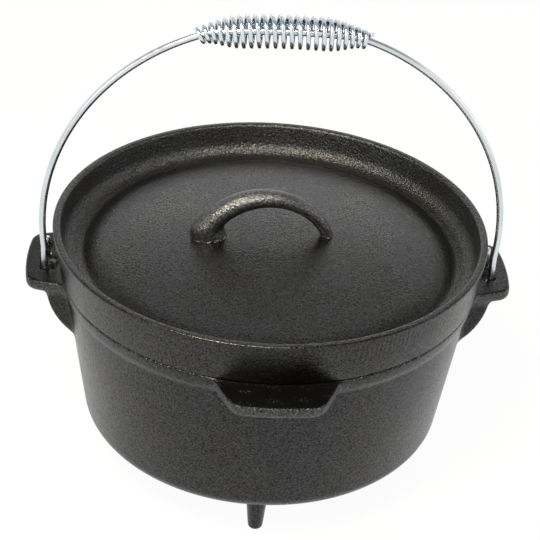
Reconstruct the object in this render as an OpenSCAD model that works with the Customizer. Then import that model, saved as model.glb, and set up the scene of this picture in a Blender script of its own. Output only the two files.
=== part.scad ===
// Camp dutch oven: an iron pot on three legs, a flanged lid with a loop handle, and a wire bail with a coil grip.
// The origin is on the ground under the middle of the pot. The ears lie along X and the front tab points to -Y.

/* [Pot] */
// Outer radius of the rim
rim_r = 131; // [120:0.5:145]
// Outside height of the pot, without its legs
pot_h = 108; // [85:1:150]
// Height of the band round the rim
band_h = 10.5; // [10:0.5:16]
// How much the band draws in from the rim to its lower edge
band_draft = 1.7; // [0.5:0.1:3]
// How far the band's lower edge stands out from the wall
band_step = 1.5; // [0.5:0.1:3]
// How much the wall draws in from the band to the base
wall_draft = 12.8; // [6:0.2:18]
// Thickness of the wall
wall_t = 5.3; // [4:0.1:7]
// Thickness of the floor
floor_t = 6; // [4:0.5:10]
// Outside radius of the bottom corner
corner_r = 12; // [8:0.5:18]
// Inside radius of the bottom corner
hollow_r = 14; // [8:0.5:24]
// Bevel on the two edges that meet at the seam under the lid
seam_bevel = 0.8; // [0.3:0.1:1.5]

/* [Legs] */
// Length of a leg below the pot
leg_h = 30; // [15:1:50]
// How far the legs stand inside the foot of the wall
leg_inset = 21; // [16:1:40]
// Diameter of a leg at the pot
leg_top_d = 14; // [11:0.5:20]
// Diameter of a leg at the ground
leg_foot_d = 9.5; // [7:0.5:10.5]
// Rounding of a leg's lower edge
leg_edge_r = 2; // [0.5:0.1:3]
// Radius of the hollow where a leg meets the pot
leg_flare_r = 3; // [1:0.5:5]
// Turn of the front leg away from the front tab
leg_turn = -3; // [-15:1:15]

/* [Ears and tabs] */
// How far the ears and tabs reach past the bail's wire
tab_past_bail = 12.5; // [9:0.5:18]
// Width of an ear where it leaves the rim
ear_w = 64; // [58:1:70]
// Lean of an ear's sides
ear_lean = 15; // [10:0.5:18]
// Radius of an ear's outer corners
ear_corner_r = 9; // [6:0.5:12]
// Width of a lifting tab where it leaves the rim
tab_w = 68; // [60:1:74]
// Lean of a lifting tab's sides
tab_lean = 24; // [18:0.5:26]
// Radius of a lifting tab's outer corners
tab_corner_r = 12; // [6:0.5:13]
// Thickness of an ear or tab
tab_t = 8.4; // [8:0.1:12]
// How far the ears and tabs lie below the rim
tab_drop = 1; // [0.5:0.1:3]
// Radius of the hollow where an ear or tab leaves the rim
tab_root_r = 9; // [4:0.5:11]
// Rounding under the outer edge
tab_nose_r = 4; // [2:0.1:5]
// Rounding on top of the outer edge
tab_edge_r = 1.5; // [0.5:0.1:2.5]
// Width of the bracket under an ear
bracket_w = 58; // [46:1:60]
// Height of the bracket under an ear
bracket_h = 33; // [28:1:40]
// How far the bracket's top lies inside the ear's edge
bracket_set = 14; // [10:0.5:16]
// Radius of the bracket's curved face
bracket_r = 45; // [35:1:80]

/* [Bail hinge] */
// Diameter of the cross bar that the bail's hook goes round
bar_d = 8.6; // [8:0.1:9]
// Depth of the bar's middle below the top of the ear
bar_drop = 4.4; // [4.2:0.1:4.8]
// Depth of the bar's ends in the sides of the ear's opening
bar_root = 1.5; // [0.5:0.1:3]
// Gap between the hook's back leg and the bar
hook_gap = 0.4; // [0.3:0.05:0.8]
// Further room between the bail's front leg and the bar
hook_slack = 6.2; // [5:0.1:8]
// Gap between the wire and the edge towards the pot of the wider front part of the opening
inner_gap = 4.9; // [2:0.1:5.2]
// Gap between the wire and the sides of its slot in the ear
outer_gap = 0.6; // [0.5:0.1:3]
// Gap between the upright wire and the edge that stops it
stop_gap = 0.3; // [0.3:0.05:0.6]
// Gap between the hook's swinging tip and the opening's far edge
tip_gap = 0.5; // [0.4:0.1:2]
// Height of the hook's tip above the ear
tip_h = 10; // [5:0.5:12]
// Free depth under the hook in the ear's opening
hook_room = 6; // [2:0.5:8]
// Free depth under the cross bar in the ear's opening
bar_room = 1.2; // [0.8:0.1:3]

/* [Bail] */
// Diameter of the bail's wire
wire_d = 4.2; // [3.6:0.1:5]
// Gap between the wire and the lid
bail_gap = 2.4; // [1.5:0.1:4]
// Gap between the grip and the back tab when the bail is swung down
swing_gap = 5.8; // [2:0.1:12]
// Outward lean of the wire where the arch starts
arch_lean = 5.9; // [3:0.1:8]
// Bend radius at the start of the arch
kink_r = 12; // [8:1:20]
// Angle on which the sides of the arch end
side_turn = 71.3; // [68:0.1:75]
// Bend radius at the shoulders of the arch
shoulder_r = 40; // [30:1:60]
// Angle on which the flat top of the arch starts
top_turn = 85; // [84:0.1:86]
// Bend radius of the flat top of the arch
top_r = 440; // [400:10:520]

/* [Grip spring] */
// Diameter of the spring's wire
spring_wire_d = 2.6; // [1.8:0.1:2.8]
// Number of curls
curl_n = 23; // [16:1:24]
// Length of the spring along the bail
spring_l = 98; // [92:1:120]
// Outside diameter at the middle of the spring
grip_d = 19.7; // [15:0.1:24]
// Gap between the end curls and the bail
spring_gap = 0.7; // [0.5:0.1:1.2]
// Share of the length over which each end narrows
grip_ramp = 0.28; // [0.2:0.01:0.4]
// How much wider the curls are spaced in the middle
pitch_swell = 0.12; // [0:0.01:0.2]

/* [Lid] */
// Height of the lid from its seat to the top of its flange
lid_h = 28; // [27:0.5:40]
// How much wider the flange is at its top than at its seat
lid_flare = 4; // [2:0.5:7]
// Width of the flange's top
land_w = 5; // [4:0.1:8]
// Rounding of the flange's top edges
land_r = 1.6; // [0.5:0.1:1.9]
// Depth of the coal tray at the flange
tray_depth = 20; // [16:0.1:21]
// How much the tray's wall draws in towards its bottom
tray_draft = 1.6; // [0.4:0.1:3]
// Radius between the tray's wall and the valley round the panel
tray_fillet = 8; // [4:0.5:9]
// Width of the valley round the panel
valley_w = 2.4; // [1:0.1:5]
// Radius of the hollow at the foot of the panel's shoulder
swell_foot_r = 5; // [2:0.5:8]
// Steepest slope of the panel's shoulder
swell_a = 34; // [25:1:40]
// Radius of the panel's rounded shoulder
swell_r = 30; // [20:1:40]
// Slope of the dome where the shoulder ends
dome_a = 7.5; // [5:0.1:9]
// Thickness of the panel
panel_t = 6; // [5:0.1:7]
// Depth of the lip that drops into the mouth
lip_h = 4; // [3.4:0.1:8]
// Width of the lip
lip_w = 6.5; // [5:0.1:8]
// Gap between the lip and the mouth
lip_gap = 0.8; // [0.5:0.1:2]
// Gap between the lid's seat and the rim
seat_gap = 0.3; // [0.2:0.05:0.6]

/* [Lid handle] */
// Distance between the middles of the loop's ends
handle_span = 79; // [60:1:90]
// Height of the middle of the bar above its ends
handle_rise = 26.6; // [20:0.1:36]
// Width of the bar across the loop at its top
handle_w = 13.3; // [10:0.1:18]
// Thickness of the bar at the top of the loop
handle_t = 11.1; // [8:0.1:14]
// How much the bar grows towards the broad foot and shrinks towards the other end, as a share
handle_taper = 0.38; // [0:0.01:0.45]
// Shift of the loop along its span from the middle of the lid
handle_shift = -3.9; // [-8:0.1:8]
// Shift of the loop towards the back from the middle of the lid
handle_back = -2; // [-6:0.1:6]
// Depth of the feet in the lid
socket_depth = 3; // [2:0.1:4]
// Length of the broad foot along the loop
foot_l = 23; // [18:0.5:28]
// Width of the broad foot across the loop
foot_w = 18; // [14:0.5:22]
// Height over which the broad foot narrows into the bar
foot_h = 13; // [8:0.5:16]
// How far the middle of the broad foot lies inside the loop's end
foot_in = 4.5; // [2:0.5:8]
// Turn of the lid on the pot
lid_turn = 3; // [-45:1:45]

/* [Hidden] */
$fn = 96;
iron = "#2f3031";
zinc = "#c3c9cf";
leg_n = 3;
arc_steps = 6;
rings_per_curl = 8;
spring_sides = 6;
wire_sides = 16;
hook_steps = 12;
handle_steps = 36;
handle_sides = 24;
kink_steps = 2;
side_steps = 20;
shoulder_steps = 4;
top_steps = 3;

rim_z = leg_h + pot_h;
band_z = rim_z - band_h;
band_r = rim_r - band_draft;
wall_r = band_r - band_step;
wall_a = atan(wall_draft / (pot_h - band_h));
base_r = wall_r - wall_draft;
floor_z = leg_h + floor_t;
leg_circle_r = base_r - leg_inset;

seat_z = rim_z + seat_gap;
lid_z = seat_z + lid_h;
lid_r = rim_r + lid_flare;
tray_r = lid_r - land_w;
tray_foot_r = tray_r - tray_draft;
valley_z = lid_z - tray_depth;
panel_r = tray_foot_r - tray_fillet - valley_w;
swell_start = [panel_r - swell_foot_r * sin(swell_a), valley_z + swell_foot_r * (1 - cos(swell_a))];
swell_c = swell_start - swell_r * dir(90 - swell_a);
swell_end = swell_c + swell_r * dir(90 - dome_a);
dome_r = swell_end[0] / sin(dome_a);
dome_c = swell_end - dome_r * dir(90 - dome_a);
under_end = swell_c + (swell_r - panel_t) * dir(90 - swell_a);
lip_r = inside_r(rim_z - lip_h) - lip_gap;
lip_in_r = lip_r - lip_w;

handle_z = dome_c[1] + sqrt(dome_r * dome_r - handle_span * handle_span / 4);
handle_r = (handle_span * handle_span / 4 + handle_rise * handle_rise) / (2 * handle_rise);
handle_c = handle_z + handle_rise - handle_r;
handle_a = asin((handle_z - socket_depth - handle_c) / handle_r);

wire_r = wire_d / 2;
bail_x = lid_r + bail_gap + wire_r;
tab_r = bail_x + tab_past_bail;
tab_z = rim_z - tab_drop;
pivot_z = tab_z - bar_drop;
tip_y = bar_d / 2 + hook_gap + wire_r;
leg_y = tip_y + hook_slack;
hook_r = (tip_y + leg_y) / 2;
hook_y = tip_y - hook_r;
tip_z = bar_drop + tip_h;
open_w = inner_gap + wire_d + outer_gap;
open_x = bail_x - wire_r - inner_gap;
open_front = leg_y + wire_r + stop_gap;
open_back = norm([tip_y + wire_r, tip_z]) + tip_gap;
open_h = hook_r + wire_r + hook_room;

bail_h = tab_r + grip_d / 2 + swing_gap;
arch_x = bail_x + kink_r * (1 - cos(arch_lean));
top_x = top_r * cos(top_turn);
shoulder_x = shoulder_r * (cos(side_turn) - cos(top_turn));
side_r = (arch_x - top_x - shoulder_x) / (cos(arch_lean) - cos(side_turn));
top_c = [0, bail_h - top_r];
shoulder_c = top_c + (top_r - shoulder_r) * dir(top_turn);
side_c = shoulder_c + (shoulder_r - side_r) * dir(side_turn);
kink_z = side_c[1] - (side_r + kink_r) * sin(arch_lean);
kink_c = [bail_x + kink_r, kink_z];
top_l = top_r * (90 - top_turn) * PI / 180;
shoulder_l = shoulder_r * (top_turn - side_turn) * PI / 180;

spring_r = spring_wire_d / 2;
curl_mid_r = grip_d / 2 - spring_r;
curl_end_r = wire_r + spring_gap + spring_r;
ring_n = curl_n * rings_per_curl;

function dir(a) = [cos(a), sin(a)];
function unit(v) = v / norm(v);
function smooth(x) = x * x * (3 - 2 * x);
function inside_r(z) = wall_r - (band_z - z) * tan(wall_a) - wall_t / cos(wall_a);
function arc(c, r, a, b) = [for (i = [0:arc_steps]) c + r * dir(a + (b - a) * i / arc_steps)];
function bottom_corner(foot_r, z, r) =
    arc([foot_r + r * tan(wall_a) - r / cos(wall_a), z + r], r, -90, -wall_a);
function bend(c, r, a, b, n) = [for (i = [1:n]) c + r * dir(a + (b - a) * i / n)];

// A tube through rings of points that all have the same count
module tube(rings) {
    n = len(rings[0]);
    last = len(rings) - 1;
    skin = [for (i = [0:last - 1], k = [0:n - 1])
        let (a = i * n + k, b = i * n + (k + 1) % n)
        each [[a, a + n, b], [b, a + n, b + n]]];
    start_cap = [for (k = [1:n - 2]) [0, k, k + 1]];
    end_cap = [for (k = [1:n - 2]) [last * n, last * n + k + 1, last * n + k]];
    polyhedron([for (ring = rings) each ring], concat(skin, start_cap, end_cap));
}

// Pot
module pot_outside() {
    rotate_extrude() polygon(concat(
        [[0, leg_h]],
        bottom_corner(base_r, leg_h, corner_r),
        [[wall_r, band_z - band_step], [band_r, band_z], [rim_r, rim_z - seam_bevel], [rim_r - seam_bevel, rim_z]],
        [[0, rim_z]]));
}

module pot_inside() {
    rotate_extrude() polygon(concat(
        [[0, floor_z]],
        bottom_corner(inside_r(floor_z), floor_z, hollow_r),
        [[inside_r(rim_z + lip_h), rim_z + lip_h], [0, rim_z + lip_h]]));
}

module leg() {
    top = leg_top_d / 2;
    foot = leg_foot_d / 2;
    translate([leg_circle_r, 0, 0]) rotate_extrude() polygon(concat(
        [[0, 0]],
        arc([foot - leg_edge_r, leg_edge_r], leg_edge_r, -90, 0),
        arc([top + leg_flare_r, leg_h - leg_flare_r], leg_flare_r, 180, 90),
        [[top + leg_flare_r, leg_h + floor_t / 2], [0, leg_h + floor_t / 2]]));
}

module plate_plan(width, lean, corner_r) {
    out = dir(90 - lean);
    way = dir(-lean);
    side_d = [rim_r, width / 2] * out;
    root_d = side_d + tab_root_r;
    root_c = root_d * out + sqrt(pow(rim_r + tab_root_r, 2) - pow(root_d, 2)) * way;
    root_a = atan2(root_c[1], root_c[0]);
    corner_d = side_d - corner_r;
    corner_c = corner_d * out + sqrt(pow(tab_r - corner_r, 2) - pow(corner_d, 2)) * way;
    corner_a = atan2(corner_c[1], corner_c[0]);
    side = concat(
        [dir(root_a) * (wall_r - wall_t)],
        arc(root_c, tab_root_r, 180 + root_a, 270 - lean),
        arc(corner_c, corner_r, 90 - lean, corner_a),
        [dir(corner_a) * (tab_r + tab_t)]);
    polygon(concat(side, [for (i = [len(side) - 1:-1:0]) [side[i][0], -side[i][1]]]));
}

module tab_ring() {
    low = tab_z - tab_t;
    rotate_extrude() polygon(concat(
        [[wall_r - wall_t, low]],
        arc([tab_r - tab_nose_r, low + tab_nose_r], tab_nose_r, -90, 0),
        arc([tab_r - tab_edge_r, tab_z - tab_edge_r], tab_edge_r, 0, 90),
        [[wall_r - wall_t, tab_z]]));
}

module plate(width, lean, corner_r) {
    intersection() {
        translate([0, 0, tab_z - 2 * tab_t]) linear_extrude(3 * tab_t) plate_plan(width, lean, corner_r);
        tab_ring();
    }
}

module tab(turn) {
    rotate([0, 0, turn]) plate(tab_w, tab_lean, tab_corner_r);
}

module bracket() {
    low = tab_z - tab_t;
    top = [tab_r - bracket_set, low];
    foot = [inside_r(low - bracket_h), low - bracket_h];
    chord = top - foot;
    middle = (top + foot) / 2;
    rise = sqrt(bracket_r * bracket_r - chord * chord / 4);
    c = middle + rise * unit([-chord[1], chord[0]]);
    a_foot = atan2(foot[1] - c[1], foot[0] - c[0]);
    a_top = atan2(top[1] - c[1], top[0] - c[0]);
    translate([0, bracket_w / 2, 0]) rotate([90, 0, 0]) linear_extrude(bracket_w) polygon(concat(
        arc(c, bracket_r, a_foot, a_top),
        [top + [0, tab_t / 2], [foot[0] - wall_t, low + tab_t / 2], foot - [wall_t, 0]]));
}

module ear() {
    plate(ear_w, ear_lean, ear_corner_r);
    bracket();
}

module ear_opening() {
    low = pivot_z - bar_d / 2 - bar_room;
    open_l = open_front + open_back;
    translate([open_x, -open_front, low]) cube([open_w, open_front, tab_z + tab_t - low]);
    translate([bail_x - wire_r - outer_gap, -open_front, pivot_z - open_h])
        cube([wire_d + 2 * outer_gap, open_l, open_h + tab_t]);
}

module cross_bar() {
    translate([open_x - bar_root, 0, pivot_z]) rotate([0, 90, 0])
        cylinder(d = bar_d, h = open_w + 2 * bar_root);
}

module pot() {
    color(iron) {
        difference() {
            union() {
                pot_outside();
                tab(90);
                tab(-90);
                ear();
                mirror([1, 0, 0]) ear();
            }
            pot_inside();
            ear_opening();
            mirror([1, 0, 0]) ear_opening();
        }
        cross_bar();
        mirror([1, 0, 0]) cross_bar();
        for (i = [0:leg_n - 1]) rotate([0, 0, leg_turn - 90 + i * 360 / leg_n]) leg();
    }
}

// Lid
module lid_body() {
    rotate_extrude() polygon(concat(
        arc(dome_c, dome_r - panel_t, 90, 90 - dome_a),
        bend(swell_c, swell_r - panel_t, 90 - dome_a, 90 - swell_a, arc_steps),
        [[lip_in_r, under_end[1] - (lip_in_r - under_end[0]) * tan(swell_a)]],
        [[lip_in_r, seat_z - lip_h], [lip_r - seam_bevel, seat_z - lip_h], [lip_r, seat_z - lip_h + seam_bevel]],
        [[lip_r, seat_z], [rim_r - seam_bevel, seat_z], [rim_r, seat_z + seam_bevel]],
        arc([lid_r - land_r, lid_z - land_r], land_r, 0, 90),
        arc([tray_r + land_r, lid_z - land_r], land_r, 90, 180),
        arc([tray_foot_r - tray_fillet, valley_z + tray_fillet], tray_fillet, 0, -90),
        arc([panel_r, valley_z + swell_foot_r], swell_foot_r, -90, -90 - swell_a),
        bend(swell_c, swell_r, 90 - swell_a, 90 - dome_a, arc_steps),
        bend(dome_c, dome_r, 90 - dome_a, 90, arc_steps)));
}

function handle_ring(f) =
    let (a = handle_a + (180 - 2 * handle_a) * f)
    let (c = [handle_r * cos(a), handle_c + handle_r * sin(a)])
    let (half = (1 + handle_taper * (2 * f - 1)) / 2)
    [for (k = [0:handle_sides - 1])
        let (b = 360 * k / handle_sides)
        let (p = c + half * handle_t * cos(b) * dir(a))
        let (foot = f < 0.5 ? 0 : 1 - smooth(max(0, min(1, (p[1] - handle_z) / foot_h))))
        let (x = foot_in - handle_span / 2 - foot_l / 2 * cos(b))
        let (half_w = half * handle_w + foot * (foot_w / 2 - half * handle_w))
        [p[0] + foot * (x - p[0]), half_w * sin(b), p[1]]];

module handle_loop() {
    rotate([0, 0, lid_turn]) translate([handle_shift, handle_back, 0])
        tube([for (i = [0:handle_steps]) handle_ring(i / handle_steps)]);
}

module lid() {
    color(iron) difference() {
        lid_body();
        handle_loop();
    }
}

module lid_handle() {
    color(iron) handle_loop();
}

function ring(c, r, n, out, side) =
    [for (k = [0:n - 1]) c + r * (cos(360 * k / n) * out + sin(360 * k / n) * side)];
function tangent(points, i) = unit(points[min(i + 1, len(points) - 1)] - points[max(i - 1, 0)]);
function back_to_front(list) = [for (i = [len(list) - 1:-1:0]) list[i]];
function mirror_x(list) = [for (p = list) [-p[0], p[1], p[2]]];

// Bail: its hook lies across the ear and its arch lies across the pot
hook_line = concat(
    [[tip_y, tip_z], [tip_y, 0]],
    bend([hook_y, 0], hook_r, 0, -180, hook_steps));
arch_line = concat(
    [[bail_x, kink_z]],
    bend(kink_c, kink_r, 180, 180 - arch_lean, kink_steps),
    bend(side_c, side_r, -arch_lean, side_turn, side_steps),
    bend(shoulder_c, shoulder_r, side_turn, top_turn, shoulder_steps),
    bend(top_c, top_r, top_turn, 90, top_steps));
bail_half = concat(
    [for (p = hook_line) [bail_x, p[0], pivot_z + p[1]]],
    [for (p = arch_line) [p[0], -leg_y, pivot_z + p[1]]]);
bail_points = concat(bail_half, mirror_x(back_to_front([for (i = [0:len(bail_half) - 2]) bail_half[i]])));
hook_count = len(hook_line);

function bail_ring(i) =
    let (p = bail_points[i])
    let (t = tangent(bail_points, i))
    let (in_hook = min(i, len(bail_points) - 1 - i) < hook_count)
    let (side = in_hook ? [-sign(p[0]), 0, 0] : cross(t, [0, 1, 0]))
    ring(p, wire_r, wire_sides, cross(side, t), side);

module bail() {
    color(zinc) tube([for (i = [0:len(bail_points) - 1]) bail_ring(i)]);
}

// Grip spring: a point beside the bail's wire, s along it from its middle, out from it and towards the back
function bend_at(d) =
    d <= top_l ? [top_c, top_r, 90 - d / top_r * 180 / PI] :
    d <= top_l + shoulder_l ? [shoulder_c, shoulder_r, top_turn - (d - top_l) / shoulder_r * 180 / PI] :
    [side_c, side_r, side_turn - (d - top_l - shoulder_l) / side_r * 180 / PI];
function beside_bail(s, out, back) =
    let (b = bend_at(abs(s)))
    let (p = b[0] + (b[1] + out) * dir(b[2]))
    [sign(s) * p[0], back - leg_y, pivot_z + p[1]];
function along(f) = spring_l * (f - 0.5 + pitch_swell * sin(360 * (f - 0.5)) / (2 * PI));
function curl_r(f) =
    curl_end_r + (curl_mid_r - curl_end_r) * smooth(min(1, min(f, 1 - f) / grip_ramp));
function curl_point(f) =
    beside_bail(along(f), curl_r(f) * cos(360 * curl_n * f), -curl_r(f) * sin(360 * curl_n * f));

curl_points = [for (i = [0:ring_n]) curl_point(i / ring_n)];
start_dir = unit(curl_points[1] - curl_points[0]);
end_dir = unit(curl_points[ring_n] - curl_points[ring_n - 1]);
spring_points = concat(
    [curl_points[0] - spring_wire_d * start_dir],
    curl_points,
    [curl_points[ring_n] + spring_wire_d * end_dir]);
last = len(spring_points) - 1;
spring_self_gap = min([for (i = [0:last - 5], j = [i + 5:last]) norm(spring_points[j] - spring_points[i])])
    - spring_wire_d;
echo(spring_self_gap = spring_self_gap);

function spring_ring(i) =
    let (f = min(1, max(0, (i - 1) / ring_n)))
    let (t = tangent(spring_points, i))
    let (off = spring_points[i] - beside_bail(along(f), 0, 0))
    let (out = unit(off - (off * t) * t))
    ring(spring_points[i], spring_r, spring_sides, out, cross(t, out));

module grip_spring() {
    color(zinc) tube([for (i = [0:last]) spring_ring(i)]);
}

pot();
lid();
lid_handle();
bail();
grip_spring();
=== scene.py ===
import math
import bmesh
import bpy
import numpy as np
from mathutils import Matrix, Vector


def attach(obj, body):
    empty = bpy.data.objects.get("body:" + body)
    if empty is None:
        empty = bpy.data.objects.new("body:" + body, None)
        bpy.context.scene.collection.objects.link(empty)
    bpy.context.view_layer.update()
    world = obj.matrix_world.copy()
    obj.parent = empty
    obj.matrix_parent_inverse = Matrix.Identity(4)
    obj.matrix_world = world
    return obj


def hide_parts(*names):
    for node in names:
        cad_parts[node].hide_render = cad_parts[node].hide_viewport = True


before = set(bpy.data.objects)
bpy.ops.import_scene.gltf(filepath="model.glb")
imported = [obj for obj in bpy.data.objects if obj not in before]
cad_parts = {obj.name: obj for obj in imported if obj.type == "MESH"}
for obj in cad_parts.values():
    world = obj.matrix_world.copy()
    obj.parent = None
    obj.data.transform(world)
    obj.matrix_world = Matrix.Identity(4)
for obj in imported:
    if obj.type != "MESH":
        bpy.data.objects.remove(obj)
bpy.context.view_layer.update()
mm = 0.001  # sizes below are in millimetres and become metres in the mesh


# mesh helpers

def polar(centre, radius, degrees):
    a = math.radians(degrees)
    return (centre[0] + radius * math.cos(a), centre[1] + radius * math.sin(a))


def unit(degrees):
    return Vector(polar((0, 0), 1, degrees))


def angleOf(x, y):
    return math.degrees(math.atan2(y, x))


def arcLine(centre, radius, start, end, steps):
    return [polar(centre, radius, start + (end - start) * i / steps) for i in range(steps + 1)]


def roundedLine(corners, steps):
    # each corner is (r, z, radius); a radius of 0 stays sharp
    line = []
    for i, (x, y, radius) in enumerate(corners):
        if radius == 0:
            line.append((x, y))
            continue
        p = Vector((x, y))
        a = (Vector(corners[i - 1][:2]) - p).normalized()
        b = (Vector(corners[i + 1][:2]) - p).normalized()
        half = math.acos(max(-1, min(1, a.dot(b)))) / 2
        back = radius / math.tan(half)
        centre = p + (a + b).normalized() * (radius / math.sin(half))
        start, end = p + a * back - centre, p + b * back - centre
        a0, a1 = math.atan2(start.y, start.x), math.atan2(end.y, end.x)
        turn = (a1 - a0 + math.pi) % (2 * math.pi) - math.pi
        for k in range(steps + 1):
            t = a0 + turn * k / steps
            line.append((centre.x + radius * math.cos(t), centre.y + radius * math.sin(t)))
    return line


def splitLine(line, longest):
    # adds points so that no stretch is longer than that
    out = [line[0]]
    for a, b in zip(line, line[1:]):
        n = max(1, math.ceil(math.dist(a, b) / longest))
        out += [tuple(p + (q - p) * k / n for p, q in zip(a, b)) for k in range(1, n + 1)]
    return out


def newObject(name, data):
    obj = bpy.data.objects.new(name, data)
    bpy.context.scene.collection.objects.link(obj)
    return obj


def meshObject(name, points, faces):
    mesh = bpy.data.meshes.new(name)
    mesh.from_pydata([[c * mm for c in p] for p in points], [], faces)
    work = bmesh.new()
    work.from_mesh(mesh)
    bmesh.ops.recalc_face_normals(work, faces=work.faces)
    work.to_mesh(mesh)
    work.free()
    return newObject(name, mesh)


def lathe(name, line, steps):
    # turns an (r, z) line that starts and ends on the axis
    points, rings, faces = [], [], []
    for r, z in line:
        if r < 1e-6:
            rings.append([len(points)] * steps)
            points.append((0, 0, z))
            continue
        rings.append(list(range(len(points), len(points) + steps)))
        points += [(*polar((0, 0), r, 360 * k / steps), z) for k in range(steps)]
    for a, b in zip(rings, rings[1:]):
        for k in range(steps):
            m = (k + 1) % steps
            face = list(dict.fromkeys([a[k], a[m], b[m], b[k]]))
            if len(face) > 2:
                faces.append(face)
    return meshObject(name, points, faces)


def skin(name, rings):
    # joins rings of points one after another and closes both ends
    n = len(rings[0])
    points = [p for ring in rings for p in ring]
    faces = [[i * n + k, i * n + (k + 1) % n, (i + 1) * n + (k + 1) % n, (i + 1) * n + k]
             for i in range(len(rings) - 1) for k in range(n)]
    faces += [list(range(n)), list(range(len(points) - n, len(points)))]
    return meshObject(name, points, faces)


def endRings(ring, way, tip):
    # the rings that round off one end of a tube, from the outermost one inward
    middle, up, side, radius = ring
    rings = []
    for a in np.linspace(math.pi / 2.2, 0, 5):
        shrink, back = tip * (1 - math.cos(a)), tip * (1 - math.sin(a))
        rings.append((middle + way * (tip - back), up, side, radius - shrink))
    return rings


def sweep(name, path, radius, sides, tip=0):
    # a round tube along a path of points; tip rounds off its two ends
    p = np.array(path, float)
    t = np.gradient(p, axis=0)
    t /= np.linalg.norm(t, axis=1)[:, None]
    up = np.cross(t[0], [1, 0, 0])
    if np.linalg.norm(up) < 0.1:
        up = np.cross(t[0], [0, 1, 0])
    rings = []
    for middle, way in zip(p, t):
        up = up - way * (up @ way)
        up /= np.linalg.norm(up)
        rings.append((middle, up, np.cross(way, up), radius))
    if tip:
        start, end = endRings(rings[0], -t[0], tip), endRings(rings[-1], t[-1], tip)
        rings = start + rings + end[::-1]
    angles = np.linspace(0, 2 * math.pi, sides, endpoint=False)
    tube = []
    for middle, up, side, size in rings:
        tube.append([tuple(middle + size * (math.cos(a) * up + math.sin(a) * side)) for a in angles])
    return skin(name, tube)


def bake(obj):
    # turns what the modifiers make into the object's own mesh
    bpy.context.view_layer.update()
    made = bpy.data.meshes.new_from_object(obj.evaluated_get(bpy.context.evaluated_depsgraph_get()))
    old = obj.data
    obj.modifiers.clear()
    obj.data = made
    bpy.data.meshes.remove(old)


def cutAway(obj, tool):
    cut = obj.modifiers.new("cut", "BOOLEAN")
    cut.operation = "DIFFERENCE"
    cut.solver = "MANIFOLD"
    cut.object = tool
    bake(obj)


def joinAll(name, objs):
    work = bmesh.new()
    for o in objs:
        work.from_mesh(o.data)
        bpy.data.objects.remove(o)
    mesh = bpy.data.meshes.new(name)
    work.to_mesh(mesh)
    work.free()
    return newObject(name, mesh)


def pointArray(mesh):
    co = np.empty(len(mesh.vertices) * 3, np.float32)
    mesh.vertices.foreach_get("co", co)
    return co.reshape(-1, 3).astype(float)


def meanOfNeighbours(mesh, values):
    edges = np.empty(len(mesh.edges) * 2, np.int32)
    mesh.edges.foreach_get("vertices", edges)
    a, b = edges.reshape(-1, 2).T
    total, count = np.zeros_like(values), np.zeros(len(values))
    np.add.at(total, a, values[b])
    np.add.at(total, b, values[a])
    np.add.at(count, a, 1)
    np.add.at(count, b, 1)
    count = np.maximum(count, 1)
    return total / (count[:, None] if values.ndim > 1 else count)


def relax(obj, weight, rounds):
    # smooths the mesh where weight is above 0
    partWay = 0.6
    co = pointArray(obj.data)
    for _ in range(rounds):
        co += (meanOfNeighbours(obj.data, co) - co) * (partWay * weight)[:, None]
    obj.data.vertices.foreach_set("co", co.astype(np.float32).ravel())
    obj.data.update()


def ramp(x, low, high):
    t = np.clip((x - low) / (high - low), 0, 1)
    return t * t * (3 - 2 * t)


def window(x, rise, fall):
    # 1 between the two ramps and 0 outside them
    return ramp(x, *rise) * (1 - ramp(x, *fall))


def paint(obj, name, amount):
    # edgeWear brings bright specks, coarseness adds grain and glint and grinding adds fine upright
    # lines;
    # one layer takes away shine as painted shade, and one paints shade on the back of the spring as a
    # darker blue
    layer = obj.data.attributes.new(name, "FLOAT", "POINT")
    layer.data.foreach_set("value", np.clip(amount, 0, 1).astype(np.float32))


def outwardness(obj):
    # how far each point stands out from its neighbours, in millimetres, evened out once
    mesh = obj.data
    co = pointArray(mesh)
    normal = np.empty(len(co) * 3, np.float32)
    mesh.vertices.foreach_get("normal", normal)
    out = ((co - meanOfNeighbours(mesh, co)) * normal.reshape(-1, 3)).sum(1)
    return meanOfNeighbours(mesh, out) / mm


def dress(obj, body, node, material):
    obj.data.materials.clear()
    obj.data.materials.append(material)
    obj.data.polygons.foreach_set("use_smooth", [True] * len(obj.data.polygons))
    obj.data.update()
    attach(obj, body)
    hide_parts(node)
    print(obj.name, "has", len(obj.data.polygons), "faces")


# material helpers

noiseSpan = (0.3, 0.7)  # most of a noise texture's values lie in here


def nodeMaker(tree):
    tree.nodes.clear()

    def make(kind, inputs=None, **settings):
        node = tree.nodes.new("ShaderNode" + kind)
        for key, value in settings.items():
            setattr(node, key, value)
        for key, value in (inputs or {}).items():
            if isinstance(value, bpy.types.NodeSocket):
                tree.links.new(value, node.inputs[key])
            else:
                node.inputs[key].default_value = value
        return node
    return make


def newMaterial(name):
    material = bpy.data.materials.new(name)
    material.use_nodes = True
    return material, nodeMaker(material.node_tree)


def colourRamp(make, fac, places, colours):
    node = make("ValToRGB", {"Fac": fac})
    band = node.color_ramp
    while len(band.elements) < len(places):
        band.elements.new(0.5)
    for element, place, colour in zip(band.elements, places, colours):
        element.position = place
        element.color = (*colour, 1)
    return node.outputs["Color"]


def calculate(make, operation, *values):
    return make("Math", dict(enumerate(values)), operation=operation).outputs["Value"]


def noise(make, place, scale, detail, roughness=0.5):
    inputs = {"Vector": place, "Scale": scale, "Detail": detail, "Roughness": roughness}
    return make("TexNoise", inputs).outputs["Fac"]


def spread(make, value, span, result):
    # carries the values of one span over to another
    inputs = {"Value": value, "From Min": span[0], "From Max": span[1]}
    inputs.update({"To Min": result[0], "To Max": result[1]})
    return make("MapRange", inputs).outputs["Result"]


def painted(make, name):
    return make("Attribute", attribute_name=name).outputs["Fac"]


def grey(v):
    return (v, v, v)


# cast iron

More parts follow.
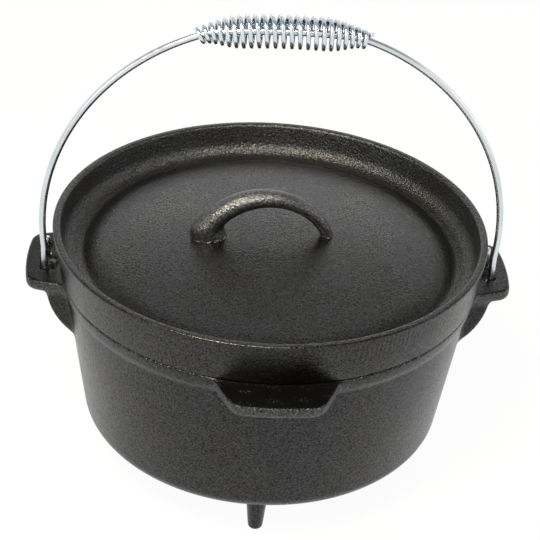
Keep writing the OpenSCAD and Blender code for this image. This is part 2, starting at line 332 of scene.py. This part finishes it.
ironLook = {
    "dark": (0.0014, 0.0014, 0.0014), "light": (0.0034, 0.0034, 0.0033), "speck": (0.4, 0.4, 0.38),
    "brown": (1.0, 0.97, 0.92), "steel": (0.95, 0.98, 1.0), "tintSpan": (0.38, 0.62),
    "grainScale": 700, "grainDetail": 3, "grainRough": 0.6, "grainTone": (0.72, 1.25),
    "cloudScale": 26, "cloudDetail": 4, "cloudRough": 0.55,
    "speckScale": 900, "speckSpan": (0.62, 0.67), "dustScale": 900,
    "rough": (0.21, 0.32), "coarseRough": 0.08, "bump": 0.85, "evenBump": 0.35, "coarseBump": 0.65,
    "ior": 1.46, "shine": (0.16, 0.84), "glint": 1.0,
    "grindLines": 270, "grindSway": 9, "grindSpan": (0, 0.9), "grindDepth": (0, 0.4),
}


def castIron(name, look):
    material, make = newMaterial(name)
    place = make("TexCoord").outputs["Object"]
    grain = noise(make, place, look["grainScale"], look["grainDetail"], look["grainRough"])
    cloud = noise(make, place, look["cloudScale"], look["cloudDetail"], look["cloudRough"])
    spots = noise(make, place, look["speckScale"], 1)
    dust = noise(make, place, look["dustScale"], 1)
    wear = painted(make, "edgeWear")
    shadeLayer = painted(make, "paintedShade")
    coarse = painted(make, "coarseness")
    ground = painted(make, "grinding")

    # clouded black iron with bright specks on its worn edges
    tone = colourRamp(make, cloud, noiseSpan, (look["dark"], look["light"]))
    fine = colourRamp(make, grain, noiseSpan, [grey(v) for v in look["grainTone"]])
    iron = make("MixRGB", {"Fac": 1.0, "Color1": tone, "Color2": fine}, blend_type="MULTIPLY")
    gate = colourRamp(make, spots, look["speckSpan"], (grey(0), grey(1)))
    speck = calculate(make, "MULTIPLY", gate, wear)
    inputs = {"Fac": speck, "Color1": iron.outputs["Color"], "Color2": (*look["speck"], 1)}
    colour = make("MixRGB", inputs).outputs["Color"]

    # sandy skin
    even = spread(make, cloud, noiseSpan, look["rough"])
    rough = calculate(make, "MULTIPLY_ADD", coarse, look["coarseRough"], even)
    sandy = calculate(make, "MULTIPLY_ADD", coarse, look["coarseBump"], look["evenBump"])
    bump = make("Bump", {"Height": grain, "Strength": sandy, "Distance": look["bump"] * mm})

    # dusty shine, less of it where the iron is ground or where shade is painted as lost shine, and
    # more where it is coarse
    gloss = spread(make, dust, noiseSpan, look["shine"])
    split = make("SeparateXYZ", {"Vector": place}).outputs
    around = calculate(make, "ARCTAN2", split["Y"], split["X"])
    sway = calculate(make, "MULTIPLY", cloud, look["grindSway"])
    wave = calculate(make, "SINE", calculate(make, "MULTIPLY_ADD", around, look["grindLines"], sway))
    lines = spread(make, wave, look["grindSpan"], look["grindDepth"])
    marksAndShade = calculate(make, "MULTIPLY_ADD", lines, ground, shadeLayer)
    shineLeft = calculate(make, "SUBTRACT", 1.0, marksAndShade)
    glint = calculate(make, "MULTIPLY_ADD", coarse, look["glint"], shineLeft)
    shine = calculate(make, "MULTIPLY", gloss, glint)
    tint = colourRamp(make, cloud, look["tintSpan"], (look["brown"], look["steel"]))

    shader = make("BsdfPrincipled", {
        "Base Color": colour, "Roughness": rough, "Normal": bump.outputs["Normal"], "IOR": look["ior"],
        "Specular IOR Level": shine, "Specular Tint": tint})
    make("OutputMaterial", {"Surface": shader.outputs["BSDF"]})
    return material


potIron = castIron("potIron", {**ironLook, "ior": 1.43})
lidIron = castIron("lidIron", ironLook)
handleIron = castIron("handleIron", {
    **ironLook, "grainScale": 800, "rough": (0.19, 0.3), "bump": 0.9, "ior": 1.8, "glint": 0.7,
    "speckSpan": (0.54, 0.59)})


# zinc-plated wire

zincLook = {"streakScale": 260, "streakDetail": 3, "streakBump": 0.06, "streakDepth": 0.3,
            "hazeScale": 55, "hazeDetail": 2}
bailLook = {"cool": (0.6, 0.65, 0.68), "warm": (0.72, 0.75, 0.76), "shadedBack": (0.4, 0.5, 0.58),
            "rough": (0.2, 0.32)}
springLook = {"cool": (0.64, 0.69, 0.72), "warm": (0.76, 0.8, 0.82), "shadedBack": (0.25, 0.37, 0.47),
              "rough": (0.16, 0.28)}


def zincWire(name, look):
    material, make = newMaterial(name)
    place = make("TexCoord").outputs["Object"]
    streak = noise(make, place, look["streakScale"], look["streakDetail"])
    haze = noise(make, place, look["hazeScale"], look["hazeDetail"])
    front = colourRamp(make, haze, noiseSpan, (look["cool"], look["warm"]))
    # painted shade: the back of the spring turns a darker blue
    shade = painted(make, "backShade")
    colour = make("MixRGB", {"Fac": shade, "Color1": front, "Color2": (*look["shadedBack"], 1)})
    rough = spread(make, streak, noiseSpan, look["rough"])
    inputs = {"Height": streak, "Strength": look["streakBump"], "Distance": look["streakDepth"] * mm}
    bump = make("Bump", inputs)
    shader = make("BsdfPrincipled", {
        "Base Color": colour.outputs["Color"], "Metallic": 1.0, "Roughness": rough,
        "Normal": bump.outputs["Normal"]})
    make("OutputMaterial", {"Surface": shader.outputs["BSDF"]})
    return material


bailZinc = zincWire("bailZinc", {**zincLook, **bailLook})
springZinc = zincWire("springZinc", {**zincLook, **springLook})
print("materials made")


# pot

pot = {
    "rimR": 131, "rimZ": 138, "bandZ": 130.4, "bandR": 129.75, "bandSlope": 3.4, "wallR": 127.8,
    "footR": 115, "baseZ": 30, "mouthR": 123.8, "floorR": 110.4, "floorZ": 36, "steps": 256,
    "cornerR": 12, "hollowR": 14, "bandFillet": 3, "bandEdge": 1.5, "rimEdge": 0.9, "mouthEdge": 1.4,
    "tabR": 152, "tabInR": 125.5, "tabTop": 137, "tabT": 8.4, "tabRoot": 9,
    "nose": 4, "edge": 1.5, "edgeStart": (130.5, 136),
    "earShape": {"half": 32, "lean": 15, "corner": 9},
    "tabShape": {"half": 34, "lean": 24, "corner": 12},
    "bracketHalf": 29, "bracketH": 33, "bracketTopR": 138, "bracketFootR": 119, "bracketBulge": 45,
    "bracketBackR": 124.6, "bracketUp": 3, "bracketDown": 4, "bracketHeelR": 120.6, "bracketHeelUp": 2,
    "opening": {"x": (132.5, 142.2), "y": (-15.4, 0.5), "low": 127.1, "corner": 3},
    "slot": {"x": (136.8, 142.2), "y": (-15.4, 17.4), "low": 114.6, "corner": 1},
    "cutOver": 9, "barR": 4.3, "barOver": 2, "pivotZ": 132.6,
    "legR": 94, "legTop": 7, "legFoot": 4.75, "legEdge": 2, "legFlare": 3, "legSink": 3,
    "legAngles": (-93, 27, 147),
    "voxel": 0.85, "evenWeight": 0.7, "evenRounds": 3, "softRounds": 26,
    # where the casting is smoothed more
    "softEar": {"x": (112, 118), "y": (34, 40), "z": ((88, 92), (126.5, 129.5)), "r": (123.5, 124.5)},
    "softRoot": {"r": ((129.2, 130.2), (133, 137)), "z": ((124, 126), (134.5, 136)), "weight": 0.8},
    "softLeg": {"r": ((76, 80), (108, 112)), "z": ((20, 25), (31, 32)), "weight": 0.6},
    # where its skin differs, and where shine is taken away as painted shade on the ear tops, the tab
    # tops and the rim beside the tabs
    "shadeEar": {"x": (130, 133), "z": (133, 136), "level": 0.48, "leftShade": 0.0014},
    "shadeTab": {"y": (130, 133), "z": (135.6, 136.4), "level": 0.82},
    "shadeRim": {"r": ((126, 128), (132.5, 134)), "z": (135, 136.5), "x": (28, 36), "level": 0.85},
    "coarse": {"r": (131, 134), "z": ((126, 128), (136.2, 136.6))},
    "wearFrom": 0.05, "wearGain": 12,
    "scuff": {"level": 0.1, "span": (0.3, 0.9), "long": (0.19, 2), "short": (0.55, 0.11)},
}


def potBowl():
    line = roundedLine([
        (0, pot["baseZ"], 0),
        (pot["footR"], pot["baseZ"], pot["cornerR"]),
        (pot["wallR"], pot["bandZ"] - pot["bandSlope"], pot["bandFillet"]),
        (pot["bandR"], pot["bandZ"], pot["bandEdge"]),
        (pot["rimR"], pot["rimZ"], pot["rimEdge"]),
        (pot["mouthR"], pot["rimZ"], pot["mouthEdge"]),
        (pot["floorR"], pot["floorZ"], pot["hollowR"]),
        (0, pot["floorZ"], 0)], steps=8)
    return lathe("bowl", splitLine(line, longest=8), pot["steps"])


def plateOutline(shape):
    # half of the plan, from the wall out to the tip, then its mirror image
    lean, corner, root, past = shape["lean"], shape["corner"], pot["tabRoot"], pot["tabR"]
    out, way = unit(90 - lean), unit(-lean)
    side = Vector((pot["rimR"], shape["half"])).dot(out)
    rootC = out * (side + root) + way * math.sqrt((pot["rimR"] + root) ** 2 - (side + root) ** 2)
    cornerC = out * (side - corner) + way * math.sqrt((past - corner) ** 2 - (side - corner) ** 2)
    rootA, tipA = angleOf(*rootC), angleOf(*cornerC)
    line = [polar((0, 0), pot["tabInR"], rootA)]
    line += arcLine(rootC, root, 180 + rootA, 270 - lean, steps=10)
    line += arcLine(cornerC, corner, 90 - lean, tipA, steps=12)
    line += arcLine((0, 0), past, tipA, 0, steps=5)[1:]
    return line + [(x, -y) for x, y in line[-2::-1]]


def plate(shape, turn):
    outline = np.array(plateOutline(shape))
    along = np.roll(outline, -1, 0) - np.roll(outline, 1, 0)
    along /= np.linalg.norm(along, axis=1)[:, None]
    inward = np.stack([along[:, 1], -along[:, 0]], 1)
    inward *= ramp(np.hypot(*outline.T), *pot["edgeStart"])[:, None]
    nose, edge, top = pot["nose"], pot["edge"], pot["tabTop"]
    low = top - pot["tabT"]
    layers = [(nose * (1 - math.cos(a)), low + nose * (1 + math.sin(a)))
              for a in np.radians(np.linspace(-90, 0, 7))]
    layers += [(edge * (1 - math.cos(a)), top - edge * (1 - math.sin(a)))
               for a in np.radians(np.linspace(0, 90, 5))]
    a = math.radians(turn)
    spin = np.array([[math.cos(a), math.sin(a)], [-math.sin(a), math.cos(a)]])
    rings = []
    for inset, z in layers:
        plan = (outline + inward * inset) @ spin
        rings.append([(x, y, z) for x, y in plan])
    return skin("tab", rings)


def earBracket(sign):
    low, bulge, back = pot["tabTop"] - pot["tabT"], pot["bracketBulge"], pot["bracketBackR"]
    top = Vector((pot["bracketTopR"], low))
    foot = Vector((pot["bracketFootR"], low - pot["bracketH"]))
    chord = top - foot
    reach = math.sqrt(bulge ** 2 - chord.length_squared / 4)
    centre = (top + foot) / 2 + Vector((-chord.y, chord.x)).normalized() * reach
    start = angleOf(foot.x - centre.x, foot.y - centre.y)
    end = angleOf(top.x - centre.x, top.y - centre.y)
    line = arcLine(centre, bulge, start, end, steps=14)
    # the rest lies inside the ear and the wall
    up = low + pot["bracketUp"]
    line += [(top.x, up), (back, up), (back, low - pot["bracketDown"])]
    line.append((pot["bracketHeelR"], low - pot["bracketH"] + pot["bracketHeelUp"]))
    half = pot["bracketHalf"]
    return skin("bracket", [[(sign * x, y, z) for x, z in line] for y in np.linspace(-half, half, 9)])


def crossBar(sign):
    x0, x1 = pot["opening"]["x"]
    inner, outer = sign * (x0 - pot["barOver"]), sign * (x1 + pot["barOver"])
    path = np.linspace((inner, 0, pot["pivotZ"]), (outer, 0, pot["pivotZ"]), 5)
    return sweep("bar", path, pot["barR"], sides=28)


def earOpening(sign, shape):
    (x0, x1), (y0, y1), r = shape["x"], shape["y"], shape["corner"]
    plan = arcLine((x1 - r, y1 - r), r, 0, 90, steps=6)
    plan += arcLine((x0 + r, y1 - r), r, 90, 180, steps=6)
    plan += arcLine((x0 + r, y0 + r), r, 180, 270, steps=6)
    plan += arcLine((x1 - r, y0 + r), r, 270, 360, steps=6)
    levels = (shape["low"], pot["tabTop"] + pot["cutOver"])
    return skin("opening", [[(sign * x, y, z) for x, y in plan] for z in levels])


def potLeg(degrees):
    foot, top, edge, flare = pot["legFoot"], pot["legTop"], pot["legEdge"], pot["legFlare"]
    base, end = pot["baseZ"], pot["baseZ"] + pot["legSink"]
    line = [(0, 0)] + arcLine((foot - edge, edge), edge, -90, 0, steps=6)
    line += arcLine((top + flare, base - flare), flare, 180, 90, steps=6)
    line += [(top + flare, end), (0, end)]
    leg = lathe("leg", splitLine(line, longest=3), steps=40)
    x, y = polar((0, 0), pot["legR"], degrees)
    leg.data.transform(Matrix.Translation((x * mm, y * mm, 0)))
    return leg


def smoothPot(obj):
    ear, root, leg = pot["softEar"], pot["softRoot"], pot["softLeg"]
    x, y, z = pointArray(obj.data).T / mm
    r = np.hypot(x, y)
    relax(obj, np.full(len(z), pot["evenWeight"]), pot["evenRounds"])
    ears = ramp(np.abs(x), *ear["x"]) * (1 - ramp(np.abs(y), *ear["y"])) * window(z, *ear["z"])
    roots = window(r, *root["r"]) * window(z, *root["z"])
    legs = window(r, *leg["r"]) * window(z, *leg["z"])
    weight = ears * ramp(r, *ear["r"]) + roots * root["weight"] + legs * leg["weight"]
    relax(obj, np.clip(weight, 0, 1), pot["softRounds"])


def paintPot(obj):
    ear, tab, lip = pot["shadeEar"], pot["shadeTab"], pot["shadeRim"]
    coarse, scuff = pot["coarse"], pot["scuff"]
    x, y, z = pointArray(obj.data).T / mm
    r = np.hypot(x, y)
    # painted shade: less shine on the ear tops, more of it on the left ear, where less light falls,
    # and on the tab tops and the rim beside the tabs
    ears = ramp(np.abs(x), *ear["x"]) * ramp(z, *ear["z"]) * (ear["level"] - x * ear["leftShade"])
    tabs = ramp(np.abs(y), *tab["y"]) * ramp(z, *tab["z"]) * tab["level"]
    rim = window(r, *lip["r"]) * ramp(z, *lip["z"]) * (1 - ramp(np.abs(x), *lip["x"])) * lip["level"]
    paint(obj, "paintedShade", np.maximum(np.maximum(ears, tabs), rim))
    paint(obj, "coarseness", ramp(r, *coarse["r"]) * window(z, *coarse["z"]))
    (long, start), (short, skew) = scuff["long"], scuff["short"]
    patches = ramp(np.sin(x * long + start) * np.sin(y * short + x * skew), *scuff["span"])
    edges = (outwardness(obj) - pot["wearFrom"]) * pot["wearGain"]
    paint(obj, "edgeWear", np.maximum(edges, tabs * scuff["level"] * patches))


def buildPot():
    parts = [potBowl(), plate(pot["tabShape"], 90), plate(pot["tabShape"], -90)]
    for sign in (1, -1):
        tools = [earOpening(sign, pot["opening"]), earOpening(sign, pot["slot"])]
        for solid in (plate(pot["earShape"], 90 - 90 * sign), earBracket(sign)):
            for tool in tools:
                cutAway(solid, tool)
            parts.append(solid)
        for tool in tools:
            bpy.data.objects.remove(tool)
        parts.append(crossBar(sign))
    parts += [potLeg(a) for a in pot["legAngles"]]
    obj = joinAll("potCasting", parts)
    grid = obj.modifiers.new("cast", "REMESH")
    grid.mode = "VOXEL"
    grid.voxel_size = pot["voxel"] * mm
    bake(obj)
    smoothPot(obj)
    paintPot(obj)
    return obj


dress(buildPot(), "pot", "pot", potIron)


# lid

lid = {
    "seatZ": 138.3, "topZ": 166.3, "rimR": 131, "topR": 135, "seatEdge": 0.9, "topEdge": 1.1,
    "trayR": 130, "trayEdge": 1.9, "trayFootR": 128.4, "trayFillet": 8, "valleyZ": 146.3,
    "panelR": 118, "panelT": 6, "hollowR": 5, "slope": 34, "shoulderR": 30, "domeSlope": 7.5,
    "lipR": 122.4, "lipIn": 115.9, "lipH": 4, "lipTaper": 0.3, "lipEdge": 1, "lipCorner": 0.6,
    "lipRise": 1.1, "lipRoot": 1.2, "steps": 320,
    # where its skin differs
    "coarse": {"r": ((112, 119), (129.8, 131.5)), "z": (143, 145)},
    "ground": {"r": (131.2, 131.8), "z": ((146, 153), (163.5, 165)), "turn": ((-82, -64), (-24, -10))},
}


def panelArcs():
    # centre and radius of the rounded shoulder and of the wide dome inside it
    upright = Vector((lid["panelR"], lid["valleyZ"] + lid["hollowR"]))
    shoulder = upright - Vector(polar((0, 0), lid["hollowR"] + lid["shoulderR"], 90 - lid["slope"]))
    edge = Vector(polar(shoulder, lid["shoulderR"], 90 - lid["domeSlope"]))
    wide = edge.x / math.sin(math.radians(lid["domeSlope"]))
    return shoulder, edge - Vector(polar((0, 0), wide, 90 - lid["domeSlope"])), wide


def domeZ(r):
    _, centre, wide = panelArcs()
    return centre.y + math.sqrt(wide ** 2 - r * r)


def panelLine(sink):
    # from the middle out to the foot of the shoulder, sunk by a thickness
    shoulder, dome, wide = panelArcs()
    steep, flat = 90 - lid["slope"], 90 - lid["domeSlope"]
    line = arcLine(dome, wide - sink, 90, flat, steps=26)
    return line + arcLine(shoulder, lid["shoulderR"] - sink, flat, steep, steps=10)[1:]


def buildLid():
    under, top = panelLine(lid["panelT"]), panelLine(0)
    seatZ, lipZ = lid["seatZ"], lid["seatZ"] - lid["lipH"]
    ring = roundedLine([
        (*under[-1], 0),
        (lid["lipIn"], seatZ + lid["lipRise"], lid["lipRoot"]),
        (lid["lipIn"] + lid["lipTaper"], lipZ, lid["lipEdge"]),
        (lid["lipR"], lipZ, lid["lipEdge"]),
        (lid["lipR"], seatZ, lid["lipCorner"]),
        (lid["rimR"], seatZ, lid["seatEdge"]),
        (lid["topR"], lid["topZ"], lid["topEdge"]),
        (lid["trayR"], lid["topZ"], lid["trayEdge"]),
        (lid["trayFootR"], lid["valleyZ"], lid["trayFillet"]),
        (lid["panelR"], lid["valleyZ"], 0)], steps=10)
    foot = (lid["panelR"], lid["valleyZ"] + lid["hollowR"])
    ring += arcLine(foot, lid["hollowR"], -90, -90 - lid["slope"], steps=6)[1:]
    line = under + splitLine(ring, longest=4)[1:] + top[-2::-1]
    obj = lathe("lidCasting", [(max(r, 0), z) for r, z in line], lid["steps"])
    coarse, ground = lid["coarse"], lid["ground"]
    x, y, z = pointArray(obj.data).T / mm
    r, turn = np.hypot(x, y), np.degrees(np.arctan2(y, x))
    paint(obj, "coarseness", window(r, *coarse["r"]) * ramp(z, *coarse["z"]))
    skirt = ramp(r, *ground["r"]) * window(z, *ground["z"])
    paint(obj, "grinding", skirt * window(turn, *ground["turn"]))
    return obj


dress(buildLid(), "lid", "lid", lidIron)


# lid handle

handle = {
    "span": 79, "rise": 26.6, "width": 13.3, "thick": 11.1, "taper": 0.38, "sink": 2.6,
    "shift": -3.9, "back": -2, "turn": 3, "footL": 23, "footW": 18, "footH": 13, "footIn": 4.5,
    "steps": 96, "sides": 48, "wearSpan": (0.4, 1.3), "coarse": 0.48,
}


def buildHandle():
    half, rise = handle["span"] / 2, handle["rise"]
    footZ = domeZ(half)
    big = (half ** 2 + rise ** 2) / (2 * rise)
    centreZ = footZ + rise - big
    start = math.degrees(math.asin((footZ - handle["sink"] - centreZ) / big))
    rings = []
    for i in range(handle["steps"] + 1):
        f = i / handle["steps"]
        a = start + (180 - 2 * start) * f
        size = (1 + handle["taper"] * (2 * f - 1)) / 2
        ring = []
        for k in range(handle["sides"]):
            b = 2 * math.pi * k / handle["sides"]
            x, z = polar((0, centreZ), big + size * handle["thick"] * math.cos(b), a)
            # the left end opens into the broad foot
            share = 0 if f < 0.5 else float(1 - ramp(z - footZ, 0, handle["footH"]))
            foot = handle["footIn"] - half - math.cos(b) * handle["footL"] / 2
            across = size * handle["width"] * (1 - share) + handle["footW"] / 2 * share
            ring.append((x + share * (foot - x), across * math.sin(b), z))
        rings.append(ring)
    obj = skin("lidLoop", rings)
    moved = Matrix.Translation((handle["shift"] * mm, handle["back"] * mm, 0))
    obj.data.transform(Matrix.Rotation(math.radians(handle["turn"]), 4, "Z") @ moved)
    x, y, z = pointArray(obj.data).T / mm
    above = z - np.array([domeZ(r) for r in np.hypot(x, y)])
    paint(obj, "edgeWear", 1 - ramp(np.abs(above), *handle["wearSpan"]))
    paint(obj, "coarseness", np.full(len(z), handle["coarse"]))
    return obj


dress(buildHandle(), "lid", "lid_handle", handleIron)


# bail

bail = {
    "wireR": 2.1, "sides": 24, "tip": 0.7, "x": 139.5, "legY": -13, "pivotZ": 132.6, "height": 167.65,
    "tipY": 6.8, "tipH": 14.4, "hookY": -3.1, "hookR": 9.9, "lean": 5.9, "kinkR": 12,
    "sideTurn": 71.3, "shoulderR": 40, "topTurn": 85, "topR": 440, "stretch": 3,
}


def archArcs():
    # centre, radius, first and last angle of each bend, from the middle of the grip down to the leg
    lean, side, top = bail["lean"], bail["sideTurn"], bail["topTurn"]
    archX = bail["x"] + bail["kinkR"] * (1 - unit(lean).x)
    sideR = archX - bail["topR"] * unit(top).x - bail["shoulderR"] * (unit(side).x - unit(top).x)
    sideR /= unit(lean).x - unit(side).x
    topC = Vector((0, bail["height"] - bail["topR"]))
    shoulderC = topC + (bail["topR"] - bail["shoulderR"]) * unit(top)
    sideC = shoulderC + (bail["shoulderR"] - sideR) * unit(side)
    kinkC = Vector((bail["x"] + bail["kinkR"], sideC.y - (sideR + bail["kinkR"]) * unit(lean).y))
    return [(topC, bail["topR"], 90, top), (shoulderC, bail["shoulderR"], top, side),
            (sideC, sideR, side, -lean), (kinkC, bail["kinkR"], 180 - lean, 180)]


def buildBail():
    legX, legY, pivotZ, tip = bail["x"], bail["legY"], bail["pivotZ"], bail["tip"]
    arch = []
    for centre, radius, a, b in archArcs():
        steps = max(3, math.ceil(abs(a - b) * math.pi / 180 * radius / bail["stretch"]))
        arch += arcLine(centre, radius, a, b, steps)[1 if arch else 0:]
    kinkZ = arch[-1][1]
    hook = arcLine((bail["hookY"], pivotZ), bail["hookR"], 180, 360, steps=26)
    side = [(x, legY, pivotZ + z) for x, z in arch]
    side += [(legX, legY, pivotZ + kinkZ * k / 6) for k in range(5, 0, -1)]
    side += [(legX, y, z) for y, z in hook]
    side += [(legX, bail["tipY"], pivotZ + (bail["tipH"] - tip) * k / 5) for k in range(1, 6)]
    path = [(-x, y, z) for x, y, z in side[:0:-1]] + side
    return sweep("bailWire", path, bail["wireR"], bail["sides"], tip)


dress(buildBail(), "bail", "bail", bailZinc)


# grip spring

spring = {
    "wireR": 1.3, "curls": 23, "length": 98, "midR": 8.55, "endR": 4.1, "ramp": 0.28, "swell": 0.12,
    "perCurl": 28, "sides": 14, "tip": 0.5, "backShadeSpan": (-1, 5),
}


def besideBail(s, out, back):
    # a point beside the bail's wire, s along it from the middle of the grip
    d = abs(s)
    for centre, radius, a, b in archArcs():
        length = math.radians(abs(a - b)) * radius
        if d <= length:
            x, z = polar(centre, radius + out, a - math.degrees(d / radius))
            return math.copysign(x, s), bail["legY"] + back, bail["pivotZ"] + z
        d -= length


def buildSpring():
    path = []
    n = spring["curls"] * spring["perCurl"]
    for i in range(n + 1):
        f = i / n
        u = f - 0.5
        s = spring["length"] * (u + spring["swell"] * math.sin(2 * math.pi * u) / (2 * math.pi))
        opened = ramp(min(f, 1 - f) / spring["ramp"], 0, 1)
        r = spring["endR"] + (spring["midR"] - spring["endR"]) * opened
        a = 2 * math.pi * spring["curls"] * f
        path.append(besideBail(s, r * math.cos(a), -r * math.sin(a)))
    obj = sweep("gripSpring", path, spring["wireR"], spring["sides"], spring["tip"])
    # painted shade on the back half of the spring
    behind = pointArray(obj.data)[:, 1] / mm - bail["legY"]
    paint(obj, "backShade", ramp(behind, *spring["backShadeSpan"]))
    return obj


dress(buildSpring(), "bail", "grip_spring", springZinc)


# floor, light and camera

studio = {
    "floorSize": 8, "floorDrop": 0.05, "floorColour": 0.86, "lift": 0.96,
    "ambient": 0.25, "skyHeights": (0.36, 0.62, 0.95), "skyLevels": (1.0, 0.42, 0.1),
    "camera": (-0.0607, -0.8466, 0.6723), "aim": (0.0011, -0.0001, 0.1308),
    "lens": 105.9, "sensor": 36, "roll": 3.67, "lampAim": (0, 0, 0.12),
    "lamps": {  # place, size, power and colour
        "keyBox": ((-0.42, -0.82, 1.55), (0.65, 0.45), 50, (1, 0.91, 0.74)),
        "topBox": ((0.1, 0.75, 1.6), (1.4, 1.0), 3, (1, 1, 1)),
        "backBox": ((0, 1.9, 0.78), (1.5, 0.45), 2.4, (1, 1, 1)),
        "leftBox": ((-1.4, -0.9, 0.75), (0.6, 0.6), 2, (1, 0.96, 0.9)),
        "rightBox": ((1.6, -0.1, 0.7), (0.8, 1.2), 2, (0.94, 0.97, 1)),
    },
}


def seenRay(make):
    # 1 for the rays that show the white background
    ray = make("LightPath").outputs
    either = calculate(make, "MAXIMUM", ray["Is Camera Ray"], ray["Is Glossy Ray"])
    return calculate(make, "MAXIMUM", either, ray["Is Transmission Ray"])


def buildFloor():
    h, z = studio["floorSize"] / 2 / mm, -studio["floorDrop"]
    floor = meshObject("floor", [(-h, -h, z), (h, -h, z), (h, h, z), (-h, h, z)], [[0, 1, 2, 3]])
    material, make = newMaterial("paleFloor")
    cloth = make("BsdfDiffuse", {"Color": (*grey(studio["floorColour"]), 1)}).outputs["BSDF"]
    glow = make("Emission", {"Color": (1, 1, 1, 1), "Strength": 1.0}).outputs["Emission"]
    seen = calculate(make, "MULTIPLY", seenRay(make), studio["lift"])
    mix = make("MixShader", {0: seen, 1: cloth, 2: glow})
    make("OutputMaterial", {"Surface": mix.outputs["Shader"]})
    floor.data.materials.append(material)


def buildWorld():
    world = bpy.data.worlds.new("studio")
    bpy.context.scene.world = world
    world.use_nodes = True
    make = nodeMaker(world.node_tree)
    way = make("TexCoord").outputs["Generated"]
    height = make("SeparateXYZ", {"Vector": way}).outputs["Z"]
    sky = colourRamp(make, height, studio["skyHeights"], [grey(v) for v in studio["skyLevels"]])
    soft = make("Background", {"Color": (1, 1, 1, 1), "Strength": studio["ambient"]})
    white = make("Background", {"Color": sky})
    inputs = {0: seenRay(make), 1: soft.outputs["Background"], 2: white.outputs["Background"]}
    mix = make("MixShader", inputs)
    make("OutputWorld", {"Surface": mix.outputs["Shader"]})


def aimed(place, target):
    return (Vector(target) - Vector(place)).to_track_quat("-Z", "Y")


def softbox(name, place, size, power, colour):
    light = bpy.data.lights.new(name, "AREA")
    light.shape = "RECTANGLE"
    light.size, light.size_y = size
    light.energy = power
    light.color = colour
    lamp = newObject(name, light)
    lamp.location = place
    lamp.rotation_euler = aimed(place, studio["lampAim"]).to_euler()


def buildCamera():
    camera = bpy.data.cameras.new("camera")
    camera.lens = studio["lens"]
    camera.sensor_width = studio["sensor"]
    obj = newObject("camera", camera)
    obj.location = studio["camera"]
    level = aimed(studio["camera"], studio["aim"]).to_matrix()
    obj.rotation_euler = (level @ Matrix.Rotation(math.radians(studio["roll"]), 3, "Z")).to_euler()
    bpy.context.scene.camera = obj


buildFloor()
buildWorld()
for boxName, box in studio["lamps"].items():
    softbox(boxName, *box)
buildCamera()
bpy.context.scene.view_settings.view_transform = "Standard"
print("studio made")
